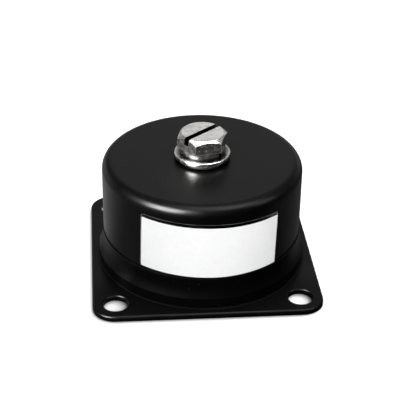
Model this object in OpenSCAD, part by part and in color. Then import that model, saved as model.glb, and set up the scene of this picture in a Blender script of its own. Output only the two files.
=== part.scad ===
// Cup-shaped rubber anti-vibration mount with a square four-hole flange.
// Millimetres. Origin: centre of the base's underside, +Z up along the cup's axis.
// The core, its bolt and washers hang on the rubber and can move up and down in the housing.

/* [Housing] */
// Outer diameter of the cup's wall
cup_d = 57.5; // [54:0.5:60]
// Height of the cup's roof above the base's underside
cup_h = 33; // [30:0.1:36]
// Radius of the rounded rim between wall and roof
rim_r = 3; // [2:0.1:5]
// Thickness of the pressed sheet
sheet_t = 1; // [0.8:0.1:1.2]
// Height of the crease where the wall meets the flared foot
crease_z = 11.1; // [10:0.1:12.5]
// Width of the ledge at the crease
ledge_w = 0.25; // [0.1:0.05:0.4]
// Outer diameter of the foot
foot_d = 60.2; // [59.5:0.1:61]
// Height of the foot's upper edge
foot_z = 4.8; // [4:0.1:5.5]
// Radius of the concave flare that runs out to the foot's upper edge
flare_r = 6; // [5:0.5:10]
// Radius of the fillet between foot and flange
foot_fillet_r = 0.4; // [0.3:0.1:0.8]
// Gap round the core's neck in the hole through the roof
roof_hole_gap = 1.2; // [1:0.1:1.4]

/* [Flange] */
// Side of the square flange
flange_w = 65; // [64.5:0.5:72]
// Radius of the flange's corners
flange_corner_r = 6.5; // [5:0.5:9]
// Radius of the flange's upper edge
flange_edge_r = 0.7; // [0.2:0.1:0.7]
// Distance from the middle of each mounting hole to the flange's two nearest sides
hole_inset = 6.5; // [5.5:0.5:7.5]
// Diameter of the mounting holes
hole_d = 7; // [5.5:0.1:7.5]
// Thickness of the closing plate under the flange
plate_t = 0.6; // [0.5:0.1:1]
// Diameter of the closing plate's middle opening
plate_opening_d = 24; // [20:0.5:25]

/* [Label] */
// Width of the label, measured straight across
label_w = 37.8; // [30:0.1:40]
// Height of the label
label_h = 16; // [10:0.5:18]
// Height of the label's middle above the base's underside
label_z = 19.5; // [18:0.1:22]
// Radius of the label's corners
label_corner_r = 0.5; // [0.3:0.1:2]
// How far the label leans from level, in degrees, with its right side lower
label_lean = 1.2; // [0:0.1:3]
// Thickness of the label
label_t = 0.15; // [0.1:0.05:0.3]

/* [Core] */
// Height of the core's top above the roof
core_proud = 1.1; // [0.9:0.1:2]
// Diameter of the core's neck, where it passes the roof
neck_d = 12; // [11:0.1:12.6]
// Diameter of the core's body, which the rubber grips
core_d = 16; // [15:0.5:18]
// Diameter of the core's shoulder
shoulder_d = 23; // [21:0.5:26]
// Thickness of the core's shoulder
shoulder_t = 2; // [1.5:0.1:2.5]
// Free depth of the bore below the bolt's end
bore_spare = 2; // [1:0.5:3]
// Diameter of the spigot that is swaged into the limit washer
spigot_d = 10; // [8:0.5:12]
// Diameter of the limit washer
limit_d = 28; // [27:0.5:32]
// Thickness of the limit washer
limit_t = 1.5; // [1:0.1:2]

/* [Rubber] */
// Height of the rubber's grip on the core
rubber_core_h = 9; // [7:0.5:10]
// Height of the rubber's grip on the outer ring
rubber_ring_h = 7; // [6:0.5:7.5]
// Distance from the core's shoulder down to the rubber
rubber_drop = 2; // [1:0.1:3]
// Radius of the hollow in the rubber's upper face
hollow_top_r = 50; // [40:5:100]
// Radius of the hollow in the rubber's lower face
hollow_low_r = 50; // [40:5:100]
// Thickness of the rebound buffer on the core's shoulder
top_buffer_t = 2.7; // [2:0.1:3.5]
// Free travel between the rebound buffer and the roof
rebound_gap = 1.8; // [1.8:0.1:2.5]
// Thickness of the buffer under the limit washer
bottom_buffer_t = 1; // [0.6:0.1:1.5]
// Free travel between the bottom buffer and the closing plate
bottom_gap = 1.8; // [1.2:0.1:2.5]
// Thickness of the steel ring round the rubber
ring_t = 1.2; // [0.8:0.1:1.5]
// Width of the steel ring's seat on the closing plate
ring_seat_w = 6; // [5:0.5:8]

/* [Bolt and washers] */
// Nominal diameter of the bolt's thread
bolt_d = 8; // [6:1:8]
// Length of the bolt under its head
bolt_l = 25; // [16:1:28]
// Width of the bolt's head across its flats
head_w = 12.8; // [12:0.1:14]
// Height of the bolt's head
head_h = 4; // [3.5:0.1:5.5]
// Width of the screwdriver slot
slot_w = 1.8; // [1.2:0.1:2.5]
// Depth of the screwdriver slot
slot_depth = 2.2; // [1:0.1:3]
// Direction of one corner of the head, in degrees from +X
head_turn = 10; // [0:1:59]
// Outer diameter of the spring washer
spring_d = 12.4; // [12:0.1:14]
// Thickness of the spring washer
spring_t = 2.1; // [1.6:0.1:2.5]
// Direction of the gap in the spring washer, in degrees from +X
spring_turn = 318; // [0:1:359]
// Outer diameter of the flat washer
washer_d = 16; // [15:0.5:18]
// Thickness of the flat washer
washer_t = 1; // [0.8:0.1:2]

/* [Hidden] */
$fn = 96;

fit_gap = 0.05;       // between a shaft and its hole, and under rubber or a label that is stuck on
seat_gap = 0.15;      // between the outer ring and the housing round it
cut = 1;              // how far a cutting solid runs past the face it cuts
hole_bevel = 0.25;    // bevel at the upper rim of the mounting holes
core_bevel = 0.4;     // bevel at the ends of the core's steps
buffer_margin = 0.8;  // how far a rubber buffer stays inside the steel disc that carries it
swage_w = 0.9;        // overhang of the swaged rim under the limit washer
swage_t = 0.6;        // thickness of the swaged rim
washer_edge_r = 0.35; // rounding of the flat washer's upper edge
tip_bevel = 1;        // bevel at the bolt's end
crown_angle = 40;     // slope of the bevel on the head's corners
crown_share = 0.93;   // width of the head's flat crown, as a share of the width across flats
split_w = 1;          // width of the gap in the spring washer
split_angle = 20;     // slant of that gap

cup_r = cup_d / 2;
foot_r = foot_d / 2;
neck_r = neck_d / 2;
core_r = core_d / 2;
shoulder_r = shoulder_d / 2;
spigot_r = spigot_d / 2;
limit_r = limit_d / 2;
bolt_r = bolt_d / 2;
washer_r = washer_d / 2;
washer_bore_r = bolt_r + 0.2;
flange_z = plate_t + sheet_t;
hole_spacing = flange_w - 2 * hole_inset;
roof_z = cup_h - sheet_t;
shoulder_top_z = roof_z - rebound_gap - top_buffer_t;
shoulder_low_z = shoulder_top_z - shoulder_t;
limit_low_z = plate_t + bottom_gap + bottom_buffer_t;
limit_top_z = limit_low_z + limit_t;
washer_z = cup_h + core_proud;
spring_z = washer_z + washer_t;
head_z = spring_z + spring_t;
bore_depth = bolt_l - washer_t - spring_t + bore_spare;
ring_skin = sheet_t + seat_gap;
ring_seat_z = plate_t + ring_t;
rubber_skin = ring_skin + ring_t + fit_gap;
rubber_low_z = ring_seat_z + fit_gap;
rubber_ring_top_z = rubber_low_z + rubber_ring_h;
rubber_core_top_z = shoulder_low_z - rubber_drop;
rubber_core_low_z = rubber_core_top_z - rubber_core_h;

// Centre of a circle of radius r through the points a and b, to the right of the way from a to b
function arc_centre(a, b, r) =
    let (mid = (a + b) / 2, half = norm(b - a) / 2, way = (b - a) / (2 * half))
    mid + sqrt(r * r - half * half) * [way[1], -way[0]];

module at_corners(spacing) {
    for (x = [-1, 1], y = [-1, 1]) translate([x * spacing / 2, y * spacing / 2, 0]) children();
}

// Rectangle with round corners, centred on the origin
module round_rectangle(w, h, r) {
    square([w, h - 2 * r], center = true);
    square([w - 2 * r, h], center = true);
    for (x = [-1, 1], y = [-1, 1]) translate([x * (w / 2 - r), y * (h / 2 - r)]) circle(r, $fn = 24);
}

module ring(r_out, r_in, h) {
    difference() {
        cylinder(r = r_out, h = h);
        translate([0, 0, -cut]) cylinder(r = r_in, h = h + 2 * cut);
    }
}

// Round bar from z0 to z1 with both ends bevelled
module bevelled_bar(r, z0, z1, bevel) {
    rotate_extrude() polygon([[0, z0], [r - bevel, z0], [r, z0 + bevel], [r, z1 - bevel],
                              [r - bevel, z1], [0, z1]]);
}

// Half section of the cup, d inside its outer skin, from height z0 up. The flare's arc starts
// upright below the crease and ends at the foot's upper edge.
module cup_section(d, z0) {
    wall_r = cup_r - d;
    top_z = cup_h - d;
    round_r = max(rim_r - d, fit_gap);
    lower_r = cup_r + ledge_w;
    flare_x = lower_r + flare_r;
    flare_z = foot_z + sqrt(pow(flare_r, 2) - pow(flare_x - foot_r, 2));
    translate([0, z0]) square([wall_r, top_z - round_r - z0]);
    translate([0, z0]) square([wall_r - round_r, top_z - z0]);
    translate([wall_r - round_r, top_z - round_r]) circle(round_r);
    translate([0, z0]) square([lower_r - d, crease_z - z0]);
    difference() {
        translate([0, z0]) square([foot_r - d, flare_z - z0]);
        translate([flare_x, flare_z]) circle(flare_r + d, $fn = 360);
    }
}

// Square plate with round corners, and with its upper edge rounded by edge_r
module flange_plate(t, edge_r) {
    half = flange_w / 2;
    inner = half - flange_corner_r;
    module edge_section(reach) {
        square([reach, t - edge_r]);
        square([reach - edge_r, t]);
        translate([reach - edge_r, t - edge_r]) circle(edge_r, $fn = 48);
    }
    module side_bar() {
        rotate([90, 0, 0]) linear_extrude(2 * inner, center = true) {
            intersection() {
                edge_section(half);
                square([half, t]);
            }
            mirror([1, 0]) intersection() {
                edge_section(half);
                square([half, t]);
            }
        }
    }
    side_bar();
    rotate([0, 0, 90]) side_bar();
    for (turn = [0 : 90 : 270]) rotate([0, 0, turn]) translate([inner, inner, 0])
        rotate_extrude(angle = 90) intersection() {
            edge_section(flange_corner_r);
            square([flange_corner_r, t]);
        }
}

module mounting_holes(h, bevel) {
    at_corners(hole_spacing) {
        translate([0, 0, -cut]) cylinder(d = hole_d, h = h + 2 * cut);
        if (bevel > 0)
            translate([0, 0, h - bevel]) cylinder(r1 = hole_d / 2, r2 = hole_d / 2 + 2 * bevel, h = 2 * bevel);
    }
}

module housing() {
    color([0.09, 0.09, 0.095]) difference() {
        union() {
            translate([0, 0, plate_t]) flange_plate(sheet_t, flange_edge_r);
            rotate_extrude() {
                cup_section(0, plate_t);
                translate([foot_r, flange_z]) difference() {
                    square(foot_fillet_r);
                    translate([foot_fillet_r, foot_fillet_r]) circle(foot_fillet_r);
                }
            }
        }
        rotate_extrude() cup_section(sheet_t, 0);
        translate([0, 0, roof_z - cut]) cylinder(r = neck_r + roof_hole_gap, h = sheet_t + 2 * cut);
        mounting_holes(flange_z, hole_bevel);
    }
}

// Thin sheet bent round the front of the cup's wall
module label() {
    skin_r = cup_r + fit_gap;
    color([0.95, 0.95, 0.95]) intersection() {
        translate([0, 0, label_z]) rotate([0, label_lean, 0]) rotate([90, 0, 0])
            linear_extrude(cup_r + cut) round_rectangle(label_w, label_h, label_corner_r);
        translate([0, 0, label_z - label_h]) ring(skin_r + label_t, skin_r, 2 * label_h);
    }
}

module base_plate() {
    color([0.1, 0.1, 0.105]) difference() {
        flange_plate(plate_t, 0);
        translate([0, 0, -cut]) cylinder(d = plate_opening_d, h = plate_t + 2 * cut);
        mounting_holes(plate_t, 0);
    }
}

// Pressed ring: a flat seat on the closing plate, and a wall that follows the housing's flared foot
module outer_ring() {
    seat_r = foot_r - ring_skin - ring_seat_w;
    color([0.45, 0.45, 0.47]) rotate_extrude() difference() {
        intersection() {
            cup_section(ring_skin, plate_t);
            translate([seat_r, plate_t]) square([ring_seat_w, rubber_ring_top_z - plate_t]);
        }
        cup_section(ring_skin + ring_t, ring_seat_z);
    }
}

// Cone of rubber, bonded to the core inside and to the outer ring outside, with hollow faces
module rubber_element() {
    grip_r = core_r + fit_gap;
    rim_r_top = cup_r + ledge_w - rubber_skin;
    rim_r_low = foot_r - rubber_skin;
    top_in = [grip_r, rubber_core_top_z];
    low_in = [grip_r, rubber_core_low_z];
    top_out = [rim_r_top, rubber_ring_top_z];
    low_out = [rim_r_top, rubber_low_z];
    color([0.05, 0.05, 0.05]) rotate_extrude() intersection() {
        cup_section(rubber_skin, rubber_low_z);
        difference() {
            polygon([low_in, [rim_r_low, rubber_low_z], [rim_r_low, rubber_ring_top_z], top_out, top_in]);
            translate(arc_centre(top_out, top_in, hollow_top_r)) circle(hollow_top_r, $fn = 360);
            translate(arc_centre(low_in, low_out, hollow_low_r)) circle(hollow_low_r, $fn = 360);
        }
    }
}

// Turned core: neck through the roof, shoulder, body, and a spigot swaged under the limit washer
module core() {
    color([0.6, 0.6, 0.6]) difference() {
        union() {
            bevelled_bar(neck_r, shoulder_top_z - cut, washer_z, core_bevel);
            bevelled_bar(shoulder_r, shoulder_low_z, shoulder_top_z, core_bevel);
            bevelled_bar(core_r, limit_top_z, shoulder_low_z + cut, core_bevel);
            translate([0, 0, limit_low_z]) cylinder(r = spigot_r, h = limit_t + cut);
            bevelled_bar(spigot_r + swage_w, limit_low_z - swage_t, limit_low_z, swage_t / 2);
        }
        translate([0, 0, washer_z - bore_depth]) cylinder(r = bolt_r + fit_gap, h = bore_depth + cut);
    }
}

module top_buffer() {
    color([0.05, 0.05, 0.05]) translate([0, 0, shoulder_top_z])
        ring(shoulder_r - buffer_margin, neck_r + fit_gap, top_buffer_t);
}

module limit_washer() {
    color([0.55, 0.55, 0.56]) translate([0, 0, limit_low_z]) ring(limit_r, spigot_r + fit_gap, limit_t);
}

module bottom_buffer() {
    color([0.05, 0.05, 0.05]) translate([0, 0, limit_low_z - bottom_buffer_t])
        ring(limit_r - buffer_margin, spigot_r + swage_w + buffer_margin, bottom_buffer_t);
}

module flat_washer() {
    color([0.8, 0.8, 0.78]) translate([0, 0, washer_z]) rotate_extrude() difference() {
        union() {
            square([washer_r, washer_t - washer_edge_r]);
            square([washer_r - washer_edge_r, washer_t]);
            translate([washer_r - washer_edge_r, washer_t - washer_edge_r]) circle(washer_edge_r, $fn = 48);
        }
        translate([0, -cut]) square([washer_bore_r, washer_t + 2 * cut]);
    }
}

// Split lock washer, pressed flat, with a slanted gap
module spring_washer() {
    spring_r = spring_d / 2;
    color([0.72, 0.72, 0.7]) translate([0, 0, spring_z]) difference() {
        ring(spring_r, washer_bore_r, spring_t);
        rotate([0, 0, spring_turn]) translate([spring_r, 0, spring_t / 2]) rotate([split_angle, 0, 0])
            cube([2 * (spring_r - washer_bore_r) + 2 * cut, split_w, 3 * spring_t], center = true);
    }
}

module bolt() {
    flats_r = head_w / 2;
    corner_r = flats_r / cos(30);
    crown_r = crown_share * flats_r;
    crown_drop = (corner_r + cut - crown_r) * tan(crown_angle);
    color([0.82, 0.82, 0.8]) {
        difference() {
            intersection() {
                translate([0, 0, head_z]) rotate([0, 0, head_turn]) cylinder(r = corner_r, h = head_h, $fn = 6);
                translate([0, 0, head_z]) rotate_extrude()
                    polygon([[0, -cut], [corner_r + cut, -cut], [corner_r + cut, head_h - crown_drop],
                             [crown_r, head_h], [0, head_h]]);
            }
            translate([0, 0, head_z + head_h - slot_depth / 2 + cut / 2]) rotate([0, 0, head_turn + 30])
                cube([2 * corner_r + 2 * cut, slot_w, slot_depth + cut], center = true);
        }
        rotate_extrude() polygon([[0, head_z - bolt_l], [bolt_r - tip_bevel, head_z - bolt_l],
                                  [bolt_r, head_z - bolt_l + tip_bevel], [bolt_r, head_z + head_h / 4],
                                  [0, head_z + head_h / 4]]);
    }
}

housing();
label();
base_plate();
outer_ring();
rubber_element();
core();
top_buffer();
limit_washer();
bottom_buffer();
flat_washer();
spring_washer();
bolt();
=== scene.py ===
"""Looks of the cup-shaped rubber anti-vibration mount: paint, plating, rubber, label, studio and camera."""
import math

import bpy
from mathutils import Matrix, Vector


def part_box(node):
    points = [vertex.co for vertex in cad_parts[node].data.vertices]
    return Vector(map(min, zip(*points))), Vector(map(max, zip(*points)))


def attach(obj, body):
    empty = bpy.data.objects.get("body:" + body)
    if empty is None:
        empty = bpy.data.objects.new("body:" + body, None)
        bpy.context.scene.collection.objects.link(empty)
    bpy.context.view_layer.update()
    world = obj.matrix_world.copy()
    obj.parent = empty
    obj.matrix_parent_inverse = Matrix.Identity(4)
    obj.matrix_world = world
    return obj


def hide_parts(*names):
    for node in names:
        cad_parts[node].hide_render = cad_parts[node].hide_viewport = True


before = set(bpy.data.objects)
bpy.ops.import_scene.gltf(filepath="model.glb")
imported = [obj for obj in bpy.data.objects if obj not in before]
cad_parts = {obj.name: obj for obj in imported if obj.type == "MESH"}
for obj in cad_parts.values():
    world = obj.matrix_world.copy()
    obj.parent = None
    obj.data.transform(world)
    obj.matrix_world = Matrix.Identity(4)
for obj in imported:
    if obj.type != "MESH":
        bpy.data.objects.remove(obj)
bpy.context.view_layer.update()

MM = 0.001
HOUSING = "housing"                    # the CAD body that stays still

# Camera: the photograph's viewing angle, worked out from the flange, cup, washer and label
CAMERA_AZIMUTH = -5.382                # degrees, from the front towards the left
CAMERA_ELEVATION = 31.944              # degrees above the floor
CAMERA_ROLL = 0.376                    # degrees
CAMERA_DISTANCE = 355.77 * MM
AIM_HEIGHT = 13.0 * MM                 # height of the point that the distance is measured from
AIM_UP = 12.283 * MM                   # how far above that point the lens axis passes
AIM_SIDE = -6.308 * MM                 # and to the right of it
LENS, SENSOR_WIDTH = 108.735, 36.0     # mm
LENS_SHIFT = (0.05, -0.05)             # the photograph is a crop from beside the lens axis

# Label on the cup's front wall, on a clear film that shows above and beside it
LABEL_WIDTH = 40.4 * MM                # along the wall
LABEL_SIDE = 0.2 * MM                  # its middle, to the right of the front
LABEL_HEIGHT = 15.8 * MM
LABEL_LOW = 11.2 * MM                  # height of its lower edge
LABEL_TILT = 1.5                       # degrees, right side lower
LABEL_THICK = 0.05 * MM
LABEL_CORNER = 0.12 * MM
LABEL_SKIN = 0.20 * MM                 # from the wall to the outer face of the CAD label
FILM_TOP = 1.0 * MM                    # clear film above the white face
FILM_SIDE = 0.3 * MM                   # and beside it
FILM_CORNER = 0.7 * MM
FILM_THICK = 0.09 * MM
FILM_LIFT = 0.01 * MM                  # between wall and film, and between film and label
FILM_IOR = 1.25                        # low, so that the film's skin reflects about as faintly as the paint
SHEET_ROWS, SHEET_COLUMNS = 20, 72     # faces of a sheet upwards and along the wall

PAINT_ROUGH = 0.31
ROUGH_SPREAD = 0.03                    # the paint's roughness varies by this both ways
PAINT_GLOSS = 0.13                     # specular level on open paint
PAINT_REACH_MM = 2.5                   # paint that is sheltered within this loses its gloss
# The paint is dull in the hollow of the foot, because the photograph shows almost no highlight there.
# Where the hollow is, as (height in mm, share)
HOLLOW_BY_HEIGHT = [(1.60, 0.0), (1.65, 1.0), (10.4, 1.0), (10.9, 0.0)]
HOLLOW_TOP = 20                        # mm, the height up to which the list above is mapped
# Share of the gloss that is left there, and roughness added, as (mm from the axis to the back, value)
HOLLOW_GLOSS = [(-26, 0.06), (-21, 0.08), (-16, 0.6), (-12, 0.8), (-5, 0.25)]
HOLLOW_ROUGH = [(-21, 0.30), (-15, 0.0)]
HOLLOW_REACH = 40                      # mm, how far both lists are mapped to the front and to the back

# Small roundings of the fasteners' sharp edges
EDGE_ROUNDING = {"bolt": 0.12 * MM, "flat_washer": 0.15 * MM, "spring_washer": 0.12 * MM}
EDGE_SEGMENTS = 2
EDGE_ANGLE = 25                        # degrees, from which an edge counts as sharp

# Plating: its tints at three levels of mottling, and its least roughness
TINT_LEVELS = (0.34, 0.50, 0.66)
BRIGHT_TINTS = [(0.66, 0.64, 0.61), (0.86, 0.85, 0.83), (0.95, 0.94, 0.92)]
BRIGHT_ROUGH = 0.19
DULL_TINTS = [(0.10, 0.10, 0.10), (0.26, 0.26, 0.25), (0.60, 0.59, 0.57)]
DULL_ROUGH = 0.30
SHADE_REACH_MM = 3.0                    # plating that is sheltered within this is darkened: painted shade
# Painted highlights along the plating's edges, which are made partly matt so that the matte lamps light them
# as bright lines: their width, and how metallic they are from sharp edge (0) to flat face (1)
EDGE_HIGHLIGHT_WIDTH = 0.22 * MM
EDGE_HIGHLIGHT_METAL = [(0.84, 0.45), (0.975, 1.0)]

# Light and surroundings
WORLD_LIGHT = 0.15                     # even light on matte surfaces; the matte lamps give the rest
# Tone of the room that mirrors see: (azimuth from the front to the right, its half width, tone), in degrees
ROOM_SIDES = [(-150, 45, 0.19), (145, 35, 0.24)]
# The same for the floor, which is dark in front
FLOOR_SIDES = [(-150, 40, 0.36), (-95, 35, 0.17), (-42, 25, 0.09), (100, 30, 0.13)]
FLOOR_NEAR = 40 * MM                   # the mirrored floor gets its full tone from here
FLOOR_FADE = 0.6                       # and none nearer than this share of it
FLOOR_HALF = 3.0                       # metres, half the floor's side
FLOOR_WHITE = (0.86, 0.86, 0.86)
FLOOR_GLOW = 0.6                       # lifts the floor to white for the camera, without light on the object
SHELTER_SAMPLES = 16
CONTACT_REACH = 4.0 * MM               # how far the contact shadow reaches
CONTACT_SIDE = (0.35, 0.6, 0.74)       # where the floor looks to for it
CONTACT_TONE = [(0.15, 0.08), (0.5, 0.4), (0.75, 0.9), (0.85, 1.0)]
HOLE_REACH = 20 * MM                   # the same for the floor seen through the flange's holes
HOLE_SIDE = (0.6, -0.6, 0.5)
HOLE_TONE = [(0.35, 0.03), (0.75, 1.0)]
HOLE_MARGIN = 1.5 * MM                 # that floor ends this far inside the flange's edge
# Lamps that only mirrors see: name, azimuth, elevation, width and height in mm, radiance
MIRROR_DISTANCE = 700                  # mm
MIRROR_LAMPS = [
    ("key", -47, 31, 400, 400, 82.0),
    ("zenith", 0, 86, 350, 350, 3.8),
    ("overhead_front", 15, 66, 400, 300, 2.0),
    ("overhead_right", 60, 62, 400, 300, 5.2),
    ("overhead_back", 120, 70, 400, 300, 0.6),
    ("right_front", 72, 36, 220, 300, 4.5),
    ("right_low", 142, 6, 350, 200, 0.3),
    ("left_low", -135, 6, 350, 200, 0.8),
    ("back_high", 180, 55, 500, 300, 0.2),
    ("back_low", 180, 36, 500, 200, 0.3),
]
# Lamps that only matte surfaces see, in the same form
MATTE_DISTANCE = 900                   # mm
MATTE_LAMPS = [
    ("sky", 0, 88, 700, 700, 2.6),
    ("fill", -10, 25, 700, 500, 5.2),
    ("rear", 170, 40, 700, 500, 2.5),
]


def node_material(name):
    """A new material with its node tree and its Principled shader."""
    material = bpy.data.materials.new(name)
    material.use_nodes = True
    tree = material.node_tree
    return material, tree, tree.nodes["Principled BSDF"]


def add(tree, kind, **settings):
    """A new node with its properties and its unlinked inputs set."""
    node = tree.nodes.new(kind)
    for key, value in settings.items():
        if hasattr(node, key):
            setattr(node, key, value)
        else:
            node.inputs[key.replace("_", " ")].default_value = value
    return node


def noise(tree, size_mm, detail=2.0, roughness=0.5):
    """Noise whose features are about size_mm wide, in object space."""
    place = add(tree, "ShaderNodeTexCoord")
    texture = add(tree, "ShaderNodeTexNoise", Scale=1.0 / (size_mm * MM), Detail=detail, Roughness=roughness)
    tree.links.new(place.outputs["Object"], texture.inputs["Vector"])
    return texture.outputs["Fac"]


def ramp(tree, source, stops):
    """Colour ramp through (position, value or colour) stops."""
    node = add(tree, "ShaderNodeValToRGB")
    elements = node.color_ramp.elements
    while len(elements) < len(stops):
        elements.new(0.5)
    for element, (position, value) in zip(elements, stops):
        element.position = position
        element.color = (*value, 1) if isinstance(value, tuple) else (value, value, value, 1)
    tree.links.new(source, node.inputs["Fac"])
    return node.outputs["Color"]


def mix_colour(tree, factor, a, b):
    """a where factor is 0 and b where it is 1; each a colour or a socket."""
    node = add(tree, "ShaderNodeMix", data_type="RGBA")
    tree.links.new(factor, node.inputs["Factor"])
    for socket, value in ((node.inputs[6], a), (node.inputs[7], b)):
        if isinstance(value, tuple):
            socket.default_value = (*value, 1)
        else:
            tree.links.new(value, socket)
    return node.outputs[2]


def multiply(tree, a, b):
    """Product of two colour sockets."""
    node = add(tree, "ShaderNodeMix", data_type="RGBA", blend_type="MULTIPLY")
    node.inputs["Factor"].default_value = 1.0
    tree.links.new(a, node.inputs[6])
    tree.links.new(b, node.inputs[7])
    return node.outputs[2]


def combine(tree, operation, a, b):
    """Result of a Math node on two sockets."""
    node = add(tree, "ShaderNodeMath", operation=operation)
    tree.links.new(a, node.inputs[0])
    tree.links.new(b, node.inputs[1])
    return node.outputs[0]


def mix_shaders(tree, factor, a, b):
    """Shader a where factor is 0 and shader b where it is 1."""
    node = add(tree, "ShaderNodeMixShader")
    for place, source in enumerate((factor, a, b)):
        tree.links.new(source, node.inputs[place])
    return node.outputs[0]


def bump(tree, height, strength, distance_mm, normal=None):
    """Normal bumped by a height socket, on top of another normal where that is given."""
    node = add(tree, "ShaderNodeBump", Strength=strength, Distance=distance_mm * MM)
    tree.links.new(height, node.inputs["Height"])
    if normal is not None:
        tree.links.new(normal, node.inputs["Normal"])
    return node.outputs["Normal"]


def sheltered(tree, reach_mm, stops):
    """Tone by how open the surface is within reach_mm: stops run from closed (0) to open (1)."""
    shelter = add(tree, "ShaderNodeAmbientOcclusion", samples=8, Distance=reach_mm * MM)
    return ramp(tree, shelter.outputs["AO"], stops)


def along_depth(stops):
    """Stops by mm from the axis to the back, turned into positions on a ramp over the hollow's reach."""
    return [((y + HOLLOW_REACH) / (2 * HOLLOW_REACH), value) for y, value in stops]


def black_paint():
    """Satin black stove enamel: faint orange peel, cloudy gloss and a few specks of dust."""
    material, tree, shader = node_material("black_paint")
    cloud = noise(tree, 9.0, detail=3.0)
    base = ramp(tree, cloud, [(0.35, (0.0005, 0.0005, 0.00055)), (0.7, (0.0010, 0.0010, 0.0011))])
    specks = ramp(tree, noise(tree, 0.55, detail=0.0), [(0.81, 0.0), (0.86, 1.0)])
    tree.links.new(mix_colour(tree, specks, base, (0.020, 0.020, 0.019)), shader.inputs["Base Color"])

    place = add(tree, "ShaderNodeTexCoord")
    split = add(tree, "ShaderNodeSeparateXYZ")
    height = add(tree, "ShaderNodeMapRange", From_Min=0.0, From_Max=HOLLOW_TOP * MM)
    depth = add(tree, "ShaderNodeMapRange", From_Min=-HOLLOW_REACH * MM, From_Max=HOLLOW_REACH * MM)
    tree.links.new(place.outputs["Object"], split.inputs[0])
    tree.links.new(split.outputs["Z"], height.inputs["Value"])
    tree.links.new(split.outputs["Y"], depth.inputs["Value"])
    hollow = ramp(tree, height.outputs[0], [(z / HOLLOW_TOP, share) for z, share in HOLLOW_BY_HEIGHT])

    open_gloss = sheltered(tree, PAINT_REACH_MM, [(0.25, 0.0), (0.75, PAINT_GLOSS)])
    gloss_left = ramp(tree, depth.outputs[0], along_depth(HOLLOW_GLOSS))
    share = mix_colour(tree, hollow, (1.0, 1.0, 1.0), gloss_left)
    tree.links.new(multiply(tree, open_gloss, share), shader.inputs["Specular IOR Level"])

    rough_stops = [(0.3, PAINT_ROUGH - ROUGH_SPREAD), (0.75, PAINT_ROUGH + ROUGH_SPREAD)]
    cloudy = ramp(tree, noise(tree, 5.0, detail=4.0), rough_stops)
    dull = multiply(tree, hollow, ramp(tree, depth.outputs[0], along_depth(HOLLOW_ROUGH)))
    tree.links.new(combine(tree, "ADD", cloudy, dull), shader.inputs["Roughness"])

    peel = bump(tree, noise(tree, 0.9, detail=1.0), 0.4, 0.014)
    tree.links.new(bump(tree, noise(tree, 0.28, detail=2.0), 0.5, 0.010, peel), shader.inputs["Normal"])
    return material


def plated_steel(name, tints, rough):
    """Zinc plating: mottled gloss, faint waves, edges made partly matt as painted highlights, and painted
    shade where it is sheltered.
    """
    material, tree, shader = node_material(name)
    # Painted highlights: the plating turns partly matt along its edges, so that the matte lamps light them
    # as bright lines
    highlight_edge = add(tree, "ShaderNodeBevel", samples=6, Radius=EDGE_HIGHLIGHT_WIDTH)
    geometry = add(tree, "ShaderNodeNewGeometry")
    flat = add(tree, "ShaderNodeVectorMath", operation="DOT_PRODUCT")
    tree.links.new(highlight_edge.outputs[0], flat.inputs[0])
    tree.links.new(geometry.outputs["Normal"], flat.inputs[1])
    tree.links.new(ramp(tree, flat.outputs["Value"], EDGE_HIGHLIGHT_METAL), shader.inputs["Metallic"])
    tint = ramp(tree, noise(tree, 2.2, detail=5.0, roughness=0.65), list(zip(TINT_LEVELS, tints)))
    # Painted shade: the plating's colour turns nearly black where it is sheltered, as in the bolt's slot and
    # between the washers
    painted_shade = sheltered(tree, SHADE_REACH_MM, [(0.35, 0.01), (0.62, 0.08), (0.86, 1.0)])
    tree.links.new(multiply(tree, tint, painted_shade), shader.inputs["Base Color"])
    gloss = ramp(tree, noise(tree, 1.1, detail=5.0), [(0.3, rough), (0.75, rough + 0.12)])
    tree.links.new(gloss, shader.inputs["Roughness"])
    waves = bump(tree, noise(tree, 1.3, detail=2.0), 0.6, 0.05)
    tree.links.new(bump(tree, noise(tree, 0.35, detail=3.0), 0.3, 0.010, waves), shader.inputs["Normal"])
    return material


def speckled(name, tint, rough, grain):
    """A plain surface from noise; tint and rough are (noise size in mm, detail, stops), grain sets its bump.

    grain is (noise size in mm, detail, strength, depth in mm).
    """
    material, tree, shader = node_material(name)
    for socket, (size_mm, detail, stops) in (("Base Color", tint), ("Roughness", rough)):
        tree.links.new(ramp(tree, noise(tree, size_mm, detail=detail), stops), shader.inputs[socket])
    size_mm, detail, strength, depth_mm = grain
    grains = noise(tree, size_mm, detail=detail)
    tree.links.new(bump(tree, grains, strength, depth_mm), shader.inputs["Normal"])
    return material, shader


def raw_steel():
    """Turned steel with a dull grey phosphate skin."""
    material, shader = speckled(
        "raw_steel",
        (3.0, 4.0, [(0.35, (0.20, 0.20, 0.205)), (0.7, (0.34, 0.34, 0.335))]),
        (0.8, 3.0, [(0.3, 0.36), (0.7, 0.5)]),
        (0.3, 2.0, 0.3, 0.01))
    shader.inputs["Metallic"].default_value = 1.0
    return material


def rubber():
    """Moulded black rubber: matte, with a faint bloom and fine grain."""
    return speckled(
        "rubber",
        (4.0, 3.0, [(0.35, (0.010, 0.010, 0.010)), (0.7, (0.020, 0.020, 0.019))]),
        (1.5, 2.0, [(0.3, 0.62), (0.7, 0.78)]),
        (0.18, 3.0, 0.4, 0.01))[0]


def label_paper():
    """Smooth white label stock with a barely visible fibre."""
    return speckled(
        "label_paper",
        (1.2, 5.0, [(0.3, (0.87, 0.872, 0.875)), (0.7, (0.90, 0.90, 0.90))]),
        (2.0, 2.0, [(0.3, 0.34), (0.7, 0.42)]),
        (0.25, 3.0, 0.15, 0.006))[0]


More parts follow.
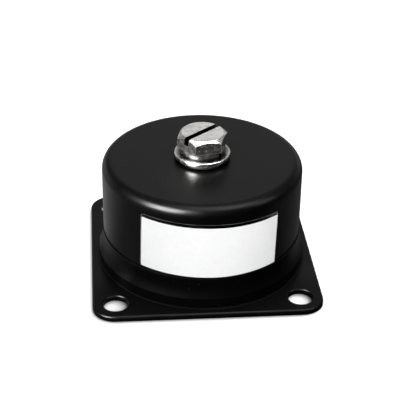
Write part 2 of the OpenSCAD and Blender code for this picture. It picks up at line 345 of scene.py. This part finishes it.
def clear_film():
    """Glossy clear plastic: mostly see-through, with a mirror-like skin."""
    material = bpy.data.materials.new("clear_film")
    material.use_nodes = True
    tree = material.node_tree
    tree.nodes.clear()
    out = add(tree, "ShaderNodeOutputMaterial")
    through = add(tree, "ShaderNodeBsdfTransparent", Color=(0.93, 0.93, 0.93, 1))
    skin = add(tree, "ShaderNodeBsdfGlossy", Color=(1, 1, 1, 1))
    rough = ramp(tree, noise(tree, 3.0, detail=3.0), [(0.3, 0.16), (0.7, 0.24)])
    tree.links.new(rough, skin.inputs["Roughness"])
    share = add(tree, "ShaderNodeFresnel", IOR=FILM_IOR)
    both = mix_shaders(tree, share.outputs[0], through.outputs[0], skin.outputs[0])
    tree.links.new(both, out.inputs["Surface"])
    return material


def film_edge():
    """Cut edge of the clear film, which scatters light and so looks greyish."""
    material, tree, shader = node_material("film_edge")
    tint = ramp(tree, noise(tree, 1.5, detail=3.0), [(0.35, (0.22, 0.22, 0.22)), (0.65, (0.50, 0.50, 0.50))])
    tree.links.new(tint, shader.inputs["Base Color"])
    shader.inputs["Roughness"].default_value = 0.5
    shader.inputs["Specular IOR Level"].default_value = 0.05
    return material


def give(material, *nodes):
    """Puts a material on carried-over CAD nodes."""
    for name in nodes:
        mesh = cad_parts[name].data
        mesh.materials.clear()
        mesh.materials.append(material)


give(black_paint(), "housing", "base_plate")
give(plated_steel("plated_steel", BRIGHT_TINTS, BRIGHT_ROUGH), "flat_washer", "bolt")
give(plated_steel("plated_steel_dull", DULL_TINTS, DULL_ROUGH), "spring_washer")
give(raw_steel(), "outer_ring", "core", "limit_washer")
give(rubber(), "rubber_element", "top_buffer", "bottom_buffer")


def bevel(piece, width):
    """Small rounding along a piece's sharp edges."""
    modifier = piece.modifiers.new("edges", "BEVEL")
    modifier.width = width
    modifier.segments = EDGE_SEGMENTS
    modifier.limit_method = "ANGLE"
    modifier.angle_limit = math.radians(EDGE_ANGLE)
    modifier.harden_normals = False


for name, width in EDGE_ROUNDING.items():
    bevel(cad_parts[name], width)

WALL_RADIUS = -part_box("label")[0].y - LABEL_SKIN


def sheet_point(x, y, width, height, corner, radius):
    """Point of a flat rounded rectangle, leaned by the label's tilt and bent round the wall at a radius."""
    over_x = max(abs(x) - (width / 2 - corner), 0)
    over_y = max(abs(y) - (height / 2 - corner), 0)
    reach = math.hypot(over_x, over_y)
    if over_x > 0 and over_y > 0 and reach > corner:
        x -= math.copysign(over_x * (1 - corner / reach), x)
        y -= math.copysign(over_y * (1 - corner / reach), y)
    turn = math.radians(LABEL_TILT)
    along = x * math.cos(turn) + y * math.sin(turn)
    up = -x * math.sin(turn) + y * math.cos(turn)
    angle = (along + LABEL_SIDE) / WALL_RADIUS
    return radius * math.sin(angle), -radius * math.cos(angle), LABEL_LOW + height / 2 + up


def wrapped_sheet(name, width, height, lift, thick, corner, face_material, edge_material=None):
    """A thin rounded rectangle bent round the cup's front wall, its underside lift above the wall."""
    rows, columns = SHEET_ROWS, SHEET_COLUMNS
    vertices, faces = [], []
    for radius in (WALL_RADIUS + lift, WALL_RADIUS + lift + thick):
        for i in range(rows + 1):
            for j in range(columns + 1):
                x, y = (j / columns * 2 - 1) * width / 2, (i / rows * 2 - 1) * height / 2
                vertices.append(sheet_point(x, y, width, height, corner, radius))
    stride = columns + 1
    layer = (rows + 1) * stride
    for i in range(rows):
        for j in range(columns):
            a = i * stride + j
            faces.append((a + layer, a + 1 + layer, a + 1 + stride + layer, a + stride + layer))
            faces.append((a, a + stride, a + stride + 1, a + 1))
    rim = list(range(stride))
    rim += [i * stride + columns for i in range(1, rows + 1)]
    rim += [rows * stride + j for j in range(columns - 1, -1, -1)]
    rim += [i * stride for i in range(rows - 1, 0, -1)]
    for a, b in zip(rim, rim[1:] + rim[:1]):
        faces.append((a, b, b + layer, a + layer))
    mesh = bpy.data.meshes.new(name)
    mesh.from_pydata(vertices, [], faces)
    mesh.update()
    piece = bpy.data.objects.new(name, mesh)
    bpy.context.scene.collection.objects.link(piece)
    mesh.materials.append(face_material)
    if edge_material is not None:
        mesh.materials.append(edge_material)
        for face in mesh.polygons[-len(rim):]:
            face.material_index = 1
    return piece


film = wrapped_sheet("film", LABEL_WIDTH + 2 * FILM_SIDE, LABEL_HEIGHT + FILM_TOP, FILM_LIFT, FILM_THICK,
                     FILM_CORNER, clear_film(), film_edge())
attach(film, HOUSING)
label = wrapped_sheet("label", LABEL_WIDTH, LABEL_HEIGHT, FILM_LIFT + FILM_THICK + FILM_LIFT, LABEL_THICK,
                      LABEL_CORNER, label_paper())
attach(label, HOUSING)
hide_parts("label")


# Studio: white floor and background, and soft lamps
def seen_rays(tree):
    """1 for rays from the camera or off a mirror or through glass, 0 for the rays that light a surface."""
    rays = add(tree, "ShaderNodeLightPath").outputs
    either = combine(tree, "MAXIMUM", rays["Is Camera Ray"], rays["Is Glossy Ray"])
    return combine(tree, "MAXIMUM", either, rays["Is Transmission Ray"])


def show(tree, lighting, mirrored, pictured):
    """One shader for the rays that light a surface, one for mirrors and glass, and one for the camera."""
    light_path = add(tree, "ShaderNodeLightPath")
    seen = mix_shaders(tree, light_path.outputs["Is Camera Ray"], mirrored, pictured)
    return mix_shaders(tree, seen_rays(tree), lighting, seen)


def direction(azimuth, elevation):
    """Unit vector towards an azimuth (from the front, to the right) and an elevation, in degrees."""
    a, e = math.radians(azimuth), math.radians(elevation)
    return Vector((math.sin(a) * math.cos(e), -math.cos(a) * math.cos(e), math.sin(e)))


def sides(tree, socket, tones):
    """Tone by level direction: the sum of soft lobes, each (azimuth, half width, tone)."""
    level = add(tree, "ShaderNodeVectorMath", operation="MULTIPLY")
    level.inputs[1].default_value = (1, 1, 0)
    unit = add(tree, "ShaderNodeVectorMath", operation="NORMALIZE")
    tree.links.new(socket, level.inputs[0])
    tree.links.new(level.outputs["Vector"], unit.inputs[0])
    total = None
    for azimuth, half, tone in tones:
        dot = add(tree, "ShaderNodeVectorMath", operation="DOT_PRODUCT")
        dot.inputs[1].default_value = direction(azimuth, 0)
        tree.links.new(unit.outputs["Vector"], dot.inputs[0])
        lobe = add(tree, "ShaderNodeMapRange", interpolation_type="SMOOTHERSTEP", To_Min=0.0, To_Max=tone)
        lobe.inputs["From Min"].default_value = math.cos(math.radians(2 * half))
        lobe.inputs["From Max"].default_value = 1.0
        tree.links.new(dot.outputs["Value"], lobe.inputs["Value"])
        total = lobe.outputs[0] if total is None else combine(tree, "ADD", total, lobe.outputs[0])
    return total


def build_world():
    """White for the camera; mirrors see a room that is grey behind the part and dark in front of it."""
    world = bpy.data.worlds.new("studio")
    bpy.context.scene.world = world
    world.use_nodes = True
    tree = world.node_tree
    tree.nodes.clear()
    out = add(tree, "ShaderNodeOutputWorld")
    lit = add(tree, "ShaderNodeBackground", Color=(1, 1, 1, 1), Strength=WORLD_LIGHT)
    backdrop = add(tree, "ShaderNodeBackground", Color=(1, 1, 1, 1), Strength=1.0)
    room = add(tree, "ShaderNodeBackground", Color=(1, 1, 1, 1))
    place = add(tree, "ShaderNodeTexCoord")
    tree.links.new(sides(tree, place.outputs["Generated"], ROOM_SIDES), room.inputs["Strength"])
    tree.links.new(show(tree, lit.outputs[0], room.outputs[0], backdrop.outputs[0]), out.inputs[0])


build_world()


def open_towards(tree, reach, side):
    """How open the floor is within reach, looking to one side: 0 closed, 1 open."""
    shelter = add(tree, "ShaderNodeAmbientOcclusion", samples=SHELTER_SAMPLES, Distance=reach)
    lean = add(tree, "ShaderNodeCombineXYZ")
    for axis, value in enumerate(Vector(side).normalized()):
        lean.inputs[axis].default_value = value
    tree.links.new(lean.outputs[0], shelter.inputs["Normal"])
    return shelter.outputs["AO"]


def shade_in_holes(tree):
    """1 on the open floor; under the flange, dark where the cup stands between the floor and HOLE_SIDE."""
    place = add(tree, "ShaderNodeTexCoord")
    apart = add(tree, "ShaderNodeVectorMath", operation="ABSOLUTE")
    split = add(tree, "ShaderNodeSeparateXYZ")
    outside = add(tree, "ShaderNodeMath", operation="GREATER_THAN")
    outside.inputs[1].default_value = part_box("housing")[1].x - HOLE_MARGIN
    tree.links.new(place.outputs["Object"], apart.inputs[0])
    tree.links.new(apart.outputs["Vector"], split.inputs[0])
    tree.links.new(combine(tree, "MAXIMUM", split.outputs["X"], split.outputs["Y"]), outside.inputs[0])
    shade = ramp(tree, open_towards(tree, HOLE_REACH, HOLE_SIDE), HOLE_TONE)
    return mix_colour(tree, outside.outputs[0], shade, (1.0, 1.0, 1.0))


def mirrored_floor(tree):
    """The floor as mirrors see it: black near the part, and dark in front of it."""
    place = add(tree, "ShaderNodeTexCoord")
    away = add(tree, "ShaderNodeVectorMath", operation="LENGTH")
    tree.links.new(place.outputs["Object"], away.inputs[0])
    far = add(tree, "ShaderNodeMapRange", interpolation_type="SMOOTHSTEP",
              From_Min=FLOOR_FADE * FLOOR_NEAR, From_Max=FLOOR_NEAR)
    tree.links.new(away.outputs["Value"], far.inputs["Value"])
    mirrored = add(tree, "ShaderNodeEmission", Color=(1, 1, 1, 1))
    tone = combine(tree, "MULTIPLY", sides(tree, place.outputs["Object"], FLOOR_SIDES), far.outputs[0])
    tree.links.new(tone, mirrored.inputs["Strength"])
    return mirrored.outputs[0]


def floor():
    """White floor with a tight contact shadow."""
    mesh = bpy.data.meshes.new("floor")
    corners = [(-1, -1), (1, -1), (1, 1), (-1, 1)]
    mesh.from_pydata([(x * FLOOR_HALF, y * FLOOR_HALF, 0) for x, y in corners], [], [(0, 1, 2, 3)])
    piece = bpy.data.objects.new("floor", mesh)
    bpy.context.scene.collection.objects.link(piece)
    material, tree, shader = node_material("floor")
    shader.inputs["Roughness"].default_value = 0.9
    shader.inputs["Specular IOR Level"].default_value = 0.0
    shadow = ramp(tree, open_towards(tree, CONTACT_REACH, CONTACT_SIDE), CONTACT_TONE)
    contact = multiply(tree, shadow, shade_in_holes(tree))
    white = add(tree, "ShaderNodeRGB")
    white.outputs[0].default_value = (*FLOOR_WHITE, 1)
    tree.links.new(multiply(tree, white.outputs[0], contact), shader.inputs["Base Color"])
    glow = add(tree, "ShaderNodeEmission", Strength=FLOOR_GLOW)
    tree.links.new(contact, glow.inputs["Color"])
    pictured = add(tree, "ShaderNodeAddShader")
    tree.links.new(shader.outputs[0], pictured.inputs[0])
    tree.links.new(glow.outputs[0], pictured.inputs[1])
    shown = show(tree, shader.outputs[0], mirrored_floor(tree), pictured.outputs[0])
    tree.links.new(shown, tree.nodes["Material Output"].inputs["Surface"])
    mesh.materials.append(material)


floor()


def soft_lamp(name, azimuth, elevation, distance_mm, size_mm, radiance, in_mirrors):
    """Area lamp that faces the part from a direction; only mirrors see it, or only matte surfaces."""
    data = bpy.data.lights.new(name, "AREA")
    data.shape = "RECTANGLE"
    data.size, data.size_y = (s * MM for s in size_mm)
    data.energy = radiance * math.pi * data.size * data.size_y
    lamp = bpy.data.objects.new(name, data)
    bpy.context.scene.collection.objects.link(lamp)
    away = direction(azimuth, elevation)
    lamp.location = away * distance_mm * MM + Vector((0, 0, AIM_HEIGHT))
    lamp.rotation_mode = "QUATERNION"
    lamp.rotation_quaternion = (-away).to_track_quat("-Z", "Y")
    lamp.visible_diffuse = not in_mirrors
    lamp.visible_glossy = in_mirrors


for name, azimuth, elevation, wide, high, radiance in MIRROR_LAMPS:
    soft_lamp(name, azimuth, elevation, MIRROR_DISTANCE, (wide, high), radiance, True)
for name, azimuth, elevation, wide, high, radiance in MATTE_LAMPS:
    soft_lamp(name, azimuth, elevation, MATTE_DISTANCE, (wide, high), radiance, False)


def photo_camera():
    """Camera at the photograph's viewing angle."""
    azimuth, roll = math.radians(CAMERA_AZIMUTH), math.radians(CAMERA_ROLL)
    centre = Vector((0, 0, AIM_HEIGHT))
    eye = centre + direction(CAMERA_AZIMUTH, CAMERA_ELEVATION) * CAMERA_DISTANCE
    side = Vector((math.cos(azimuth), math.sin(azimuth), 0))
    target = centre + side * AIM_SIDE + Vector((0, 0, AIM_UP))
    forward = (target - eye).normalized()
    right = forward.cross(Vector((0, 0, 1))).normalized()
    up = right.cross(forward)
    right, up = math.cos(roll) * right + math.sin(roll) * up, math.cos(roll) * up - math.sin(roll) * right
    data = bpy.data.cameras.new("photo")
    data.lens, data.sensor_width = LENS, SENSOR_WIDTH
    data.shift_x, data.shift_y = LENS_SHIFT
    camera = bpy.data.objects.new("photo", data)
    camera.matrix_world = Matrix.Translation(eye) @ Matrix((right, up, -forward)).transposed().to_4x4()
    bpy.context.scene.collection.objects.link(camera)
    bpy.context.scene.camera = camera


photo_camera()
bpy.context.scene.view_settings.view_transform = "Standard"
